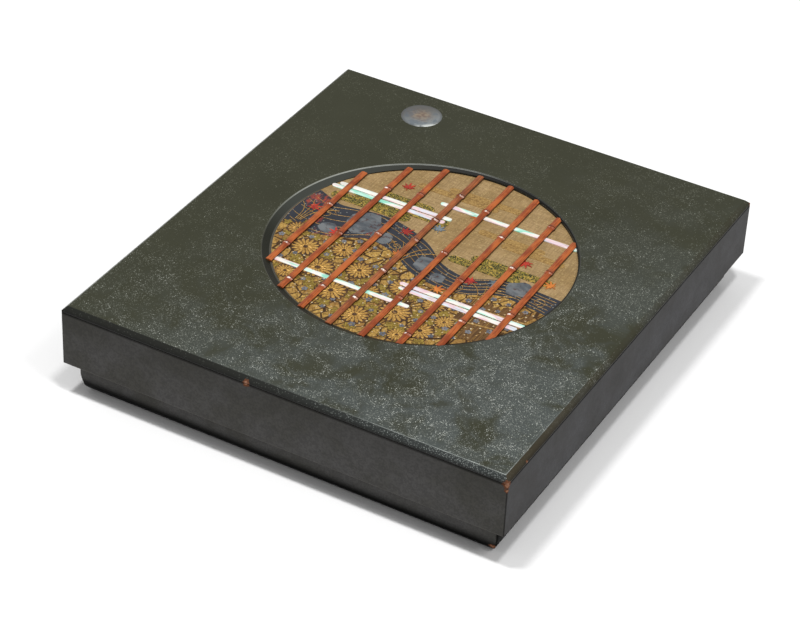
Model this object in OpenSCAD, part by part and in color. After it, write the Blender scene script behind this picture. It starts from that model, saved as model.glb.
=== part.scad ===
// Writing box with an overhanging lid.
// The lid's skirt drops over the base and stops on the rim of the base walls.
// A round hollow in the lid holds an inlaid panel, split bamboo bars and shell strips.
// The box stands on z = 0 with the centre of its footprint at the origin, and -Y is its front.

/* [Box] */
// Width of the lid, left to right
box_w = 220; // [200:1:250]
// Depth of the lid, front to back
box_d = 245; // [225:1:280]
// Height of the base that shows below the lid
base_reveal = 16; // [12:0.5:22]
// Height of the lid's skirt, up to the seam under the top board
skirt_h = 28; // [24:0.5:36]

/* [Lid] */
// Thickness of the lid's side boards
lid_wall = 4.5; // [4:0.5:5]
// Thickness of the top board
top_t = 6.5; // [6:0.5:8]
// Width of the bevel round the top board, seen from above
bevel_w = 2.2; // [1.5:0.1:4]
// Height of the bevel
bevel_h = 3; // [2:0.1:3.4]

/* [Base] */
// Gap between the lid's skirt and the base walls
lid_gap = 0.5; // [0.3:0.1:1]
// Thickness of the base walls
base_wall = 5; // [4:0.5:7]
// Thickness of the bottom board
floor_t = 6; // [5.5:0.5:8]
// Radius of the base's rounded lower edge
foot_r = 5; // [2:0.5:5]

/* [Round window] */
// Radius of the window's rim
window_r = 72; // [60:1:80]
// Depth from the lid's surface to the panel
window_depth = 2; // [1.5:0.1:2.5]
// Width of the sloping wall between the rim and the panel
window_slope = 4; // [2:0.5:6]
// Thickness of the inlaid panel
panel_t = 1.5; // [1:0.1:2]

/* [Lattice] */
// Width of a split bamboo bar
bar_w = 3.1; // [2.6:0.1:3.5]
// Rise of a bar above the panel
bar_rise = 1.5; // [1.2:0.1:1.8]
// Radius of the culms that the bars are split from
culm_r = 3.2; // [2.6:0.1:5]
// Rise of a bamboo joint above its culm
joint_rise = 0.36; // [0.1:0.02:0.4]
// Swelling of a bar's sides at a bamboo joint
joint_swell = 0.32; // [0.1:0.02:0.4]
// Width of a shell strip
strip_w = 2.7; // [2:0.1:3]
// Rise of a shell strip above the panel
strip_rise = 0.6; // [0.4:0.1:0.9]

/* [Disc inlay] */
// Radius of the silver disc
disc_r = 10; // [6:0.5:14]
// Height of the disc's dome above the lid
disc_rise = 0.35; // [0.2:0.05:0.6]

/* [Writing set] */
// Width of the inkstone
stone_w = 86; // [70:1:96]
// Length of the inkstone
stone_l = 136; // [110:1:138]
// Height of the inkstone
stone_h = 15; // [12:1:18]
// Side of the square water dropper
dropper_w = 44; // [36:1:48]
// Height of the water dropper
dropper_h = 17; // [14:1:20]
// Width of the brush tray
tray_w = 48; // [44:1:56]
// Height of the brush tray
tray_h = 22; // [18:1:24]
// Diameter of a brush handle
handle_dia = 8; // [6:0.5:9]
// Length of a brush handle
handle_l = 160; // [130:1:165]

/* [Hidden] */

$fn = 96;

lacquer_top = [0.22, 0.23, 0.19];
lacquer_side = [0.25, 0.24, 0.24];
lacquer_inside = [0.11, 0.09, 0.08];
bamboo_red = [0.72, 0.32, 0.16];
twig_brown = [0.62, 0.34, 0.18];
shell_white = [0.84, 0.88, 0.86];
panel_gold = [0.62, 0.50, 0.30];
tarnished_silver = [0.58, 0.60, 0.60];
slate = [0.20, 0.20, 0.22];
bronze = [0.42, 0.30, 0.20];
handle_bamboo = [0.66, 0.50, 0.28];
hair = [0.82, 0.74, 0.60];
ink_black = [0.08, 0.08, 0.09];

// Heights of the box
seam_z = base_reveal + skirt_h;
lid_z = seam_z + bevel_h;
rim_z = lid_z - top_t;

// Outline of the base and of the space inside it
base_w = box_w - 2 * (lid_wall + lid_gap);
base_d = box_d - 2 * (lid_wall + lid_gap);
inner_w = base_w - 2 * base_wall;
inner_d = base_d - 2 * base_wall;

// Roundings
lid_corner_r = 0.8;
base_corner_r = 1.5;
seam_r = 0.5;
skirt_edge_r = 1.2;
rim_edge_r = 1.2;

// The window's rim and the pocket under it are cut by hand a little off centre
rim_centre = [0.6, 0.7];
pocket_centre = [2.1, 1.7];
pocket_r = window_r - 2.5;
pocket_z = lid_z - window_depth;
panel_gap = 0.1;
rim_round = 0.4;

// Bars of the lattice: distance from the box's centre line, turn in degrees, joints along the bar
bar_x = [-54, -38.2, -22.8, -6.5, 9.8, 26, 41.6, 57.2];
bar_turn = [0, -0.4, -0.3, -0.3, -0.1, 0.4, 0.4, 1.1];
bar_joints = [[12, -26], [38, -6, -49], [42, 3, -46], [51, 27, 8, -21, -46],
              [46, 6, -35], [31, -9, -57], [51, 12, -36], [18, -20]];
// The fourth bar is a thin branch with stronger knots, not a split culm
branch = 3;
// The ends of the bars lie on a circle about this point, on the foot of the window's wall
bar_circle_at = [2.1, 1];
bar_circle_r = pocket_r + 1.1;

// Shell strips: left end, length, turn in degrees
strip_row = [[[-62, 28], 59.7, 0.2], [[-59.5, 31], 59, 0.7], [[-11.6, 41.7], 71.5, 0],
             [[-53.4, -38.1], 69.9, -0.4], [[4.1, -24.5], 62.9, 0.1], [[5.3, -27.8], 59.1, 0]];

disc_at = [-55.5, 101.5];
disc_sunk = 0.9;

// Places inside the base
fit_gap = 0.7;
board_t = 8;
board_w = inner_w - tray_w - 3 * fit_gap;
board_x = -inner_w / 2 + fit_gap + board_w / 2;
board_top = floor_t + board_t;
stone_at = [board_x, -32];
stone_sunk = 5;
dropper_at = [board_x, 74];
dropper_sunk = 3;
seat_gap = 0.5;
tray_x = inner_w / 2 - fit_gap - tray_w / 2;
tray_l = inner_d - 2 * fit_gap;
tray_wall = 2.4;
tray_floor_z = floor_t + tray_wall;
rest_y = 46;
rest_t = 6;
rest_h = 6.5;
brush_z = tray_floor_z + 7;
brush_x = [-14, -1];
brush_start = -107;
tip_l = 32;
stick_size = [16, 70, 9];
stick_x = 12;

// Points of an arc about c
function arc(c, r, from, to, steps = 5) =
    [for (i = [0:steps]) let (a = from + (to - from) * i / steps) c + r * [cos(a), sin(a)]];

// Outline of a rectangle with round corners, centred on the origin
function round_rect(w, d, r) = concat(
    arc([w / 2 - r, d / 2 - r], r, 0, 90),
    arc([r - w / 2, d / 2 - r], r, 90, 180),
    arc([r - w / 2, r - d / 2], r, 180, 270),
    arc([w / 2 - r, r - d / 2], r, 270, 360));

// Straight run along X of a section drawn in Y and Z
module run_x(length) {
    rotate([90, 0, 90]) linear_extrude(length, center = true) children();
}

// Straight run along Y of a section drawn in X and Z
module run_y(length) {
    rotate([90, 0, 0]) linear_extrude(length, center = true) children();
}

// Board with a round-cornered outline whose edges have the section edge(half width)
module edged_board(w, d, corner_r, low, high) {
    intersection() {
        run_y(2 * d) children(0);
        run_x(2 * w) children(1);
        translate([0, 0, low]) linear_extrude(high - low) polygon(round_rect(w, d, corner_r));
    }
}

// One side wall, mitred at both ends, outer face at y = reach.
// The section's points are [depth in from the outer face, height].
module mitred_wall(length, reach, corner_r, section) {
    low = min([for (p = section) p.y]);
    high = max([for (p = section) p.y]);
    intersection() {
        run_x(length) polygon([for (p = section) [reach - p.x, p.y]]);
        translate([0, 0, low]) linear_extrude(high - low)
            polygon([[0, reach - length / 2], [length / 2, reach], [-length / 2, reach]]);
        translate([0, 0, low]) linear_extrude(high - low)
            polygon(round_rect(length, 2 * reach, corner_r));
    }
}

// --- Base ---

function foot_section(half) = concat(
    arc([half - foot_r, foot_r], foot_r, -90, 0, 8), [[half, floor_t], [-half, floor_t]],
    arc([foot_r - half, foot_r], foot_r, 180, 270, 8));

module base_floor() {
    color(lacquer_side)
        edged_board(base_w, base_d, base_corner_r, 0, floor_t) {
            polygon(foot_section(base_w / 2));
            polygon(foot_section(base_d / 2));
        }
}

base_section = concat(
    [[0, floor_t]], arc([rim_edge_r, rim_z - rim_edge_r], rim_edge_r, 180, 90),
    arc([base_wall - rim_edge_r, rim_z - rim_edge_r], rim_edge_r, 90, 0), [[base_wall, floor_t]]);

module base_wall_long(length, reach) {
    color(lacquer_side) mitred_wall(length, reach, base_corner_r, base_section);
}

module base_back() base_wall_long(base_w, base_d / 2);
module base_front() rotate([0, 0, 180]) base_back();
module base_left() rotate([0, 0, 90]) base_wall_long(base_d, base_w / 2);
module base_right() rotate([0, 0, 180]) base_left();

// --- Lid ---

// Edge of the top board: a small round at the seam, then the bevel up to the lid's surface
function bevel_edge(half) = concat(
    arc([half - seam_r, seam_z + seam_r], seam_r, -90, 20, 4),
    arc([half - bevel_w - 0.6, lid_z - 1], 1, 50, 90, 3));

module bevel_section(half) {
    edge = bevel_edge(half);
    polygon(concat(edge, [for (i = [len(edge) - 1:-1:0]) [-edge[i].x, edge[i].y]]));
}

// The hollow of the window, from the panel's face up through the lid's surface
module window_hollow() {
    slope_r = window_r - window_slope;
    translate([rim_centre.x, rim_centre.y, pocket_z])
        rotate_extrude()
            polygon(concat(
                [[0, 0], [slope_r, 0]],
                arc([window_r + rim_round, window_depth - rim_round], rim_round, 160, 90, 4),
                [[window_r + rim_round, window_depth + 1], [0, window_depth + 1]]));
    translate([pocket_centre.x, pocket_centre.y, pocket_z])
        cylinder(r = pocket_r, h = window_depth);
}

module lid_top() {
    color(lacquer_top)
        difference() {
            union() {
                edged_board(box_w, box_d, lid_corner_r, seam_z, lid_z) {
                    bevel_section(box_w / 2);
                    bevel_section(box_d / 2);
                }
                translate([0, 0, rim_z])
                    linear_extrude(seam_z - rim_z)
                        square([box_w - 2 * lid_wall, box_d - 2 * lid_wall], center = true);
            }
            window_hollow();
            translate([pocket_centre.x, pocket_centre.y, pocket_z - panel_t])
                cylinder(r = pocket_r, h = panel_t);
            translate([disc_at.x, disc_at.y, lid_z - disc_sunk])
                cylinder(r = disc_r, h = 2 * disc_sunk);
        }
}

lid_section = concat(
    arc([skirt_edge_r, base_reveal + skirt_edge_r], skirt_edge_r, 270, 180, 4),
    arc([seam_r, seam_z - seam_r], seam_r, 180, 90, 4),
    [[lid_wall, seam_z], [lid_wall, base_reveal]]);

module lid_wall_long(length, reach) {
    color(lacquer_side) mitred_wall(length, reach, lid_corner_r, lid_section);
}

module lid_back() lid_wall_long(box_w, box_d / 2);
module lid_front() rotate([0, 0, 180]) lid_back();
module lid_left() rotate([0, 0, 90]) lid_wall_long(box_d, box_w / 2);
module lid_right() rotate([0, 0, 180]) lid_left();

module window_panel() {
    color(panel_gold)
        translate([pocket_centre.x, pocket_centre.y, pocket_z - panel_t])
            cylinder(r = pocket_r - panel_gap, h = panel_t);
}

// Silver disc let into the lid, its face a low dome
module moon_disc() {
    dome_r = (disc_r * disc_r + disc_rise * disc_rise) / (2 * disc_rise);
    dome_angle = asin(disc_r / dome_r);
    color(tarnished_silver)
        translate([disc_at.x, disc_at.y, lid_z - disc_sunk])
            rotate_extrude()
                polygon(concat([[0, 0], [disc_r, 0]],
                    arc([0, disc_sunk + disc_rise - dome_r], dome_r, 90 - dome_angle, 90, 8)));
}

// --- Lattice: split bamboo bars lapped over shell strips ---

// Section of a strip: flat below, gently domed above
module strip_section() {
    shoulder = strip_rise * 0.7;
    polygon(concat([[-strip_w / 2, 0], [strip_w / 2, 0]],
        [for (i = [0:6]) let (t = 1 - i / 3)
            [t * strip_w / 2, shoulder + (strip_rise - shoulder) * (1 - t * t)]]));
}

module strip_solid(row) {
    length = row[1];
    translate([row[0].x, row[0].y, pocket_z])
        rotate([0, 0, row[2]])
            intersection() {
                translate([length / 2, 0, 0]) run_x(length) strip_section();
                linear_extrude(strip_rise)
                    polygon(concat(arc([strip_w / 2, 0], strip_w / 2, 90, 270, 6),
                                   arc([length - strip_w / 2, 0], strip_w / 2, -90, 90, 6)));
            }
}

module shell_strip(i) {
    color(shell_white)
        intersection() {
            strip_solid(strip_row[i]);
            window_hollow();
        }
}

// Outline of a bamboo joint along its culm: a steep ridge, a groove where the leaf sat, a long swelling
function joint_outline(rise) = [
    [0, -1.7], [0.1 * rise, -1.2], [rise, -0.4], [rise, -0.1],
    [0.1 * rise, 0.1], [0.9 * rise, 0.4], [0.4 * rise, 1.3], [0, 2.3]];

// Culm of bamboo along Z, with its joints
module culm(length, joints, rise) {
    rotate_extrude()
        polygon(concat(
            [[0, -length / 2], [culm_r, -length / 2]],
            [for (k = [len(joints) - 1:-1:0]) for (p = joint_outline(rise)) [culm_r + p.x, joints[k] + p.y]],
            [[culm_r, length / 2], [0, length / 2]]));
}

// One long side of a bar's outline, which swells at each joint
function bar_side(joints, swell) =
    [for (k = [len(joints) - 1:-1:0]) for (p = [[0, -2], [swell, -0.6], [swell, 0.5], [0.3 * swell, 1.6], [0, 3.5]])
        [bar_w / 2 + p.x, joints[k] + p.y]];

// A length of a culm split down to a flat-bottomed bar with square-cut ends
module split_culm(i) {
    stronger = i == branch ? 1.3 : 1;
    half = sqrt(pow(bar_circle_r, 2) - pow(bar_x[i] - bar_circle_at.x, 2));
    low = bar_circle_at.y - half;
    high = bar_circle_at.y + half;
    side = bar_side(bar_joints[i], joint_swell * stronger);
    intersection() {
        translate([0, 0, bar_rise - culm_r])
            rotate([-90, 0, 0]) culm(3 * window_r, bar_joints[i], joint_rise * stronger);
        linear_extrude(2 * bar_rise)
            polygon(concat([[bar_w / 2, low]], side, [[bar_w / 2, high], [-bar_w / 2, high]],
                [for (k = [len(side) - 1:-1:0]) [-side[k].x, side[k].y]], [[-bar_w / 2, low]]));
    }
}

module bamboo_bar(i) {
    color(i == branch ? twig_brown : bamboo_red)
        difference() {
            intersection() {
                translate([bar_x[i], 0, pocket_z]) rotate([0, 0, bar_turn[i]]) split_culm(i);
                window_hollow();
            }
            for (row = strip_row) strip_solid(row);
        }
}

// --- Writing set ---

module seat(size, depth, at) {
    translate([at.x, at.y, board_top - depth])
        linear_extrude(depth + 1) square(size + [2 * seat_gap, 2 * seat_gap], center = true);
}

// Board that fills the base beside the tray, with a seat for the stone and one for the dropper.
// A half-round scoop on each side of the stone lets two fingers lift it.
module inner_board() {
    scoop_r = 11;
    color(lacquer_inside)
        difference() {
            translate([board_x, 0, floor_t])
                linear_extrude(board_t)
                    polygon(round_rect(board_w, inner_d - 2 * fit_gap, 1));
            seat([stone_w, stone_l], stone_sunk, stone_at);
            seat([dropper_w, dropper_w], dropper_sunk, dropper_at);
            for (side = [-1, 1])
                translate([stone_at.x + side * (stone_w / 2 + seat_gap), stone_at.y, board_top - stone_sunk])
                    cylinder(r = scoop_r, h = stone_sunk + 1);
        }
}

// Inkstone: a flat grinding field that runs down into a trough at the back
module inkstone() {
    border = 7;
    field_drop = 1.6;
    trough_drop = 8.5;
    trough_r = 40;
    trough_y = stone_l / 2 - border - 18;
    color(slate)
        translate([stone_at.x, stone_at.y, board_top - stone_sunk])
            difference() {
                linear_extrude(stone_h) polygon(round_rect(stone_w, stone_l, 6));
                intersection() {
                    translate([0, 0, stone_h - trough_drop])
                        linear_extrude(trough_drop + 1)
                            polygon(round_rect(stone_w - 2 * border, stone_l - 2 * border, 5));
                    union() {
                        translate([-stone_w, -stone_l, stone_h - field_drop])
                            cube([2 * stone_w, 2 * stone_l, stone_h]);
                        translate([0, trough_y, stone_h - trough_drop + trough_r])
                            rotate([0, 90, 0])
                                cylinder(r = trough_r, h = 2 * stone_w, center = true);
                    }
                }
            }
}

// Water dropper: a closed square vessel with an air hole on its middle boss
// and a spout hole near one corner
function soft_block(half, h, r) = concat(
    arc([half - 1, 1], 1, -90, 0, 3), arc([half - r, h - r], r, 0, 90, 6),
    arc([r - half, h - r], r, 90, 180, 6), arc([1 - half, 1], 1, 180, 270, 3));

module water_dropper() {
    shell_t = 1.4;
    hole_r = 0.9;
    boss_r = 4;
    boss_h = 1.2;
    spout_at = [dropper_w / 2 - 8, dropper_w / 2 - 8];
    hollow_w = dropper_w - 2 * shell_t;
    color(bronze)
        translate([dropper_at.x, dropper_at.y, board_top - dropper_sunk])
            difference() {
                union() {
                    edged_board(dropper_w, dropper_w, 5, 0, dropper_h) {
                        polygon(soft_block(dropper_w / 2, dropper_h, 3));
                        polygon(soft_block(dropper_w / 2, dropper_h, 3));
                    }
                    translate([0, 0, dropper_h - 0.1]) cylinder(r1 = boss_r, r2 = boss_r - 0.8, h = boss_h);
                    translate([spout_at.x, spout_at.y, dropper_h - 0.6])
                        cylinder(r1 = 2.4, r2 = 1.8, h = boss_h);
                }
                translate([0, 0, shell_t])
                    linear_extrude(dropper_h - 2 * shell_t)
                        polygon(round_rect(hollow_w, hollow_w, 4));
                cylinder(r = hole_r, h = 2 * dropper_h, $fn = 32);
                translate([spout_at.x, spout_at.y, dropper_h / 2])
                    cylinder(r = hole_r, h = dropper_h, $fn = 32);
            }
}

// Open tray with a round finger notch in each end
module brush_tray() {
    notch_r = 15;
    color(lacquer_inside)
        translate([tray_x, 0, floor_t])
            difference() {
                linear_extrude(tray_h) polygon(round_rect(tray_w, tray_l, 1.2));
                translate([0, 0, tray_wall])
                    linear_extrude(tray_h)
                        polygon(round_rect(tray_w - 2 * tray_wall, tray_l - 2 * tray_wall, 1));
                translate([0, 0, tray_h + 8])
                    rotate([90, 0, 0])
                        cylinder(r = notch_r, h = 2 * tray_l, center = true);
            }
}

// Rest across the tray, with a round seat for each brush
module brush_rest(y) {
    color(lacquer_inside)
        translate([tray_x, y, tray_floor_z])
            difference() {
                run_y(rest_t) polygon(concat(
                    [[-tray_w / 2 + tray_wall, 0], [tray_w / 2 - tray_wall, 0]],
                    [[tray_w / 2 - tray_wall, rest_h - 1], [tray_w / 2 - tray_wall - 1, rest_h]],
                    [[1 + tray_wall - tray_w / 2, rest_h], [tray_wall - tray_w / 2, rest_h - 1]]));
                for (x = brush_x)
                    translate([x, 0, brush_z - tray_floor_z])
                        rotate([90, 0, 0])
                            cylinder(d = handle_dia + 0.4, h = 2 * rest_t, center = true);
            }
}

module brush_rest_front() brush_rest(-rest_y);
module brush_rest_back() brush_rest(rest_y);

// Ink stick, with its long edges eased
module ink_stick() {
    half = stick_size.x / 2;
    ease = 1.5;
    color(ink_black)
        translate([tray_x + stick_x, 0, tray_floor_z])
            edged_board(stick_size.x, stick_size.y, 2, 0, stick_size.z) {
                polygon(concat(arc([half - ease, ease], ease, -90, 0, 4),
                               arc([half - ease, stick_size.z - ease], ease, 0, 90, 4),
                               arc([ease - half, stick_size.z - ease], ease, 90, 180, 4),
                               arc([ease - half, ease], ease, 180, 270, 4)));
                translate([-stick_size.y / 2, 0]) square([stick_size.y, stick_size.z]);
            }
}

// A brush lies along Y with its hair towards the back
module brush_place(i) {
    translate([tray_x + brush_x[i], brush_start, brush_z])
        rotate([-90, 0, 0]) children();
}

// Bamboo handle: closed round end, two joints, a narrow collar where the hair is set
module brush_handle(i) {
    r = handle_dia / 2;
    joints = [handle_l * 0.34, handle_l * 0.71];
    color(handle_bamboo)
        brush_place(i)
            rotate_extrude($fn = 64)
                polygon(concat([[0, 0]], arc([r - 1.6, 1.6], 1.6, -90, 0, 4),
                    [for (j = joints) for (p = [[r, -1.6], [r + 0.15, -0.4], [r - 0.15, 0],
                        [r + 0.15, 0.4], [r, 1.6]]) [p.x, j + p.y]],
                    [[r, handle_l - 14], [r - 0.5, handle_l - 13], [r - 0.5, handle_l], [0, handle_l]]));
}

// Hair set with starch: a full belly that closes to a point
module brush_tip(i) {
    r = handle_dia / 2 - 0.8;
    color(hair)
        brush_place(i)
            translate([0, 0, handle_l])
                rotate_extrude($fn = 64)
                    polygon(concat([[0, 0]],
                        [for (k = [0:12]) let (t = k / 12)
                            [r * (1 + 0.22 * sin(180 * min(1, t * 1.6))) * sqrt(1 - pow(t, 2.2)), tip_l * t]]));
}

module brush_1_handle() brush_handle(0);
module brush_1_tip() brush_tip(0);
module brush_2_handle() brush_handle(1);
module brush_2_tip() brush_tip(1);

base_floor();
base_front();
base_back();
base_left();
base_right();
lid_top();
lid_front();
lid_back();
lid_left();
lid_right();
window_panel();
moon_disc();
bamboo_bar(0);  // bamboo_bar_1
bamboo_bar(1);  // bamboo_bar_2
bamboo_bar(2);  // bamboo_bar_3
bamboo_bar(3);  // bamboo_bar_4
bamboo_bar(4);  // bamboo_bar_5
bamboo_bar(5);  // bamboo_bar_6
bamboo_bar(6);  // bamboo_bar_7
bamboo_bar(7);  // bamboo_bar_8
shell_strip(0);  // shell_strip_1
shell_strip(1);  // shell_strip_2
shell_strip(2);  // shell_strip_3
shell_strip(3);  // shell_strip_4
shell_strip(4);  // shell_strip_5
shell_strip(5);  // shell_strip_6
inner_board();
inkstone();
water_dropper();
brush_tray();
brush_rest_front();
brush_rest_back();
ink_stick();
brush_1_handle();
brush_1_tip();
brush_2_handle();
brush_2_tip();
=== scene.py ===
"""Looks of a lacquered inkstone box: a dark lid with a round lattice window over a low base.

Sizes and places are in millimetres, except where a comment says metres.
"""
import math
import random

import bmesh
import bpy
from mathutils import Matrix, Vector


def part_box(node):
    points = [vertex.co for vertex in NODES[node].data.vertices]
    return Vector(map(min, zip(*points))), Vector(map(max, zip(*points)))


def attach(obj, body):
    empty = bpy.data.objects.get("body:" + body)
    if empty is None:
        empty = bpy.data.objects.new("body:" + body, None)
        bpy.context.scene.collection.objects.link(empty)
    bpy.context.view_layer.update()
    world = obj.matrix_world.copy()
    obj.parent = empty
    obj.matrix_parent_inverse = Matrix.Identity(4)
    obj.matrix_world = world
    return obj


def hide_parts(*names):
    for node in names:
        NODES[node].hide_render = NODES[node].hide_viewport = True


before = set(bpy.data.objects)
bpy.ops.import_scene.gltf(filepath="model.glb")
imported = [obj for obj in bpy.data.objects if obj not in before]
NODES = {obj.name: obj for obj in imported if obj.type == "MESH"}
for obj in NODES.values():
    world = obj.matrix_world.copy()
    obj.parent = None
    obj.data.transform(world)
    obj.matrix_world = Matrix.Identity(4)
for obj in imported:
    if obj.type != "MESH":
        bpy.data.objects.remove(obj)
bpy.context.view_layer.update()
MM = 0.001      # a millimetre, in the scene's metres


def box(node):
    """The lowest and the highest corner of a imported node."""
    return [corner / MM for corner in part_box(node)]


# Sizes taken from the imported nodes
LID_HIGH = box("lid_top")[1]
HALF_W, HALF_D, LID_TOP = LID_HIGH
SKIRT_LOW, SEAM_Z = (corner.z for corner in box("lid_front"))
BASE_LOW, BASE_HIGH = box("base_floor")
PANEL_LOW, PANEL_HIGH = box("window_panel")
PANEL_Z = PANEL_HIGH.z
WINDOW_X, WINDOW_Y, _ = (PANEL_LOW + PANEL_HIGH) / 2
WINDOW_R = (PANEL_HIGH.x - PANEL_LOW.x) / 2 - 0.2     # what lies on the panel stays inside this
DISC_LOW, DISC_HIGH = box("moon_disc")

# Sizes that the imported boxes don't show
RIM_AT, RIM_R = (0.6, 0.7, 0), 72    # the middle and radius of the window's rim in the lid's top
BAR_CROWN = PANEL_Z + 1.5
JOINT_GROOVE = 0.2           # from the middle of a bamboo joint's ridges to its groove
STONE_EDGE = 9               # width of the inkstone's edge round the grinding field
LID_WALL, BASE_WALL = 3, 4   # from the outer face to where the inner finish starts
FOOT_W, FOOT_H = 5, 10       # the rounding of the base's lower edge, a tall quarter ellipse
PACKED_R = 5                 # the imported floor's edge, a quarter circle
OUTER_SKIN = 1.6             # depth of a base wall's outer face and its rounded corners

# -------------------- camera

IMAGE_W = 800
SENSOR_W = 36
FOCAL_PX = 2681              # focal length of the photograph's camera, in its own pixels
CAMERA_AT = Vector((0.4599, -0.8857, 0.7325))        # metres
CAMERA_AIM = Vector((0.01627, -0.04615, 0.047))      # metres
CAMERA_ROLL = math.radians(2.995)


def in_scene(name, data):
    made = bpy.data.objects.new(name, data)
    bpy.context.scene.collection.objects.link(made)
    return made


def make_camera():
    data = bpy.data.cameras.new("photo_camera")
    data.sensor_width = SENSOR_W
    data.lens = FOCAL_PX / IMAGE_W * SENSOR_W
    data.clip_start, data.clip_end = 0.01, 20         # metres
    camera = in_scene("photo_camera", data)
    turn = (CAMERA_AIM - CAMERA_AT).to_track_quat("-Z", "Y").to_matrix()
    turn = turn @ Matrix.Rotation(CAMERA_ROLL, 3, "Z")
    camera.matrix_world = Matrix.Translation(CAMERA_AT) @ turn.to_4x4()
    bpy.context.scene.camera = camera


class Tree:
    """A node tree in the making."""

    def feed(self, socket, value):
        value = value.socket if isinstance(value, Value) else value
        if isinstance(value, bpy.types.NodeSocket):
            self.tree.links.new(value, socket)
        else:
            socket.default_value = value

    def node(self, kind, feeds=None, **settings):
        """A new node. The feeds go to its sockets, by name or place. The settings are its other values."""
        made = self.tree.nodes.new(kind)
        for key, value in settings.items():
            setattr(made, key, value)
        for key, value in (feeds or {}).items():
            self.feed(made.inputs[key], value)
        return made


class Value:
    """A number or colour that a finish works out point by point. Arithmetic on it adds nodes."""

    def __init__(self, finish, socket):
        self.finish, self.socket = finish, socket

    def __add__(self, other):
        return self.finish.math("ADD", self, other)

    def __sub__(self, other):
        return self.finish.math("SUBTRACT", self, other)

    def __mul__(self, other):
        return self.finish.math("MULTIPLY", self, other)

    def __or__(self, other):
        """Where one or the other is: the larger of the two."""
        return self.finish.math("MAXIMUM", self, other)

    def __abs__(self):
        return self.finish.math("ABSOLUTE", self)

    def remap(self, from_low, from_high, to_low, to_high, kind):
        feeds = {0: self, 1: from_low, 2: from_high, 3: to_low, 4: to_high}
        made = self.finish.node("ShaderNodeMapRange", feeds, interpolation_type=kind)
        return Value(self.finish, made.outputs[0])

    def rise(self, low, high):
        """0 below low, 1 above high, smooth between; falls instead where low is above high."""
        start, end = (1, 0) if low > high else (0, 1)
        return self.remap(min(low, high), max(low, high), start, end, "SMOOTHSTEP")

    def spread(self, low, high):
        """0 to 1 spread over low to high."""
        return self.remap(0, 1, low, high, "LINEAR")


def tint(colour):
    """Three screen numbers of 0 to 255 as the linear colour that a shader takes; all else as it is."""
    if not isinstance(colour, tuple) or len(colour) != 3:
        return colour
    shares = [c / 255 for c in colour]
    return (*(c / 12.92 if c <= 0.04045 else ((c + 0.055) / 1.055) ** 2.4 for c in shares), 1.0)


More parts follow.
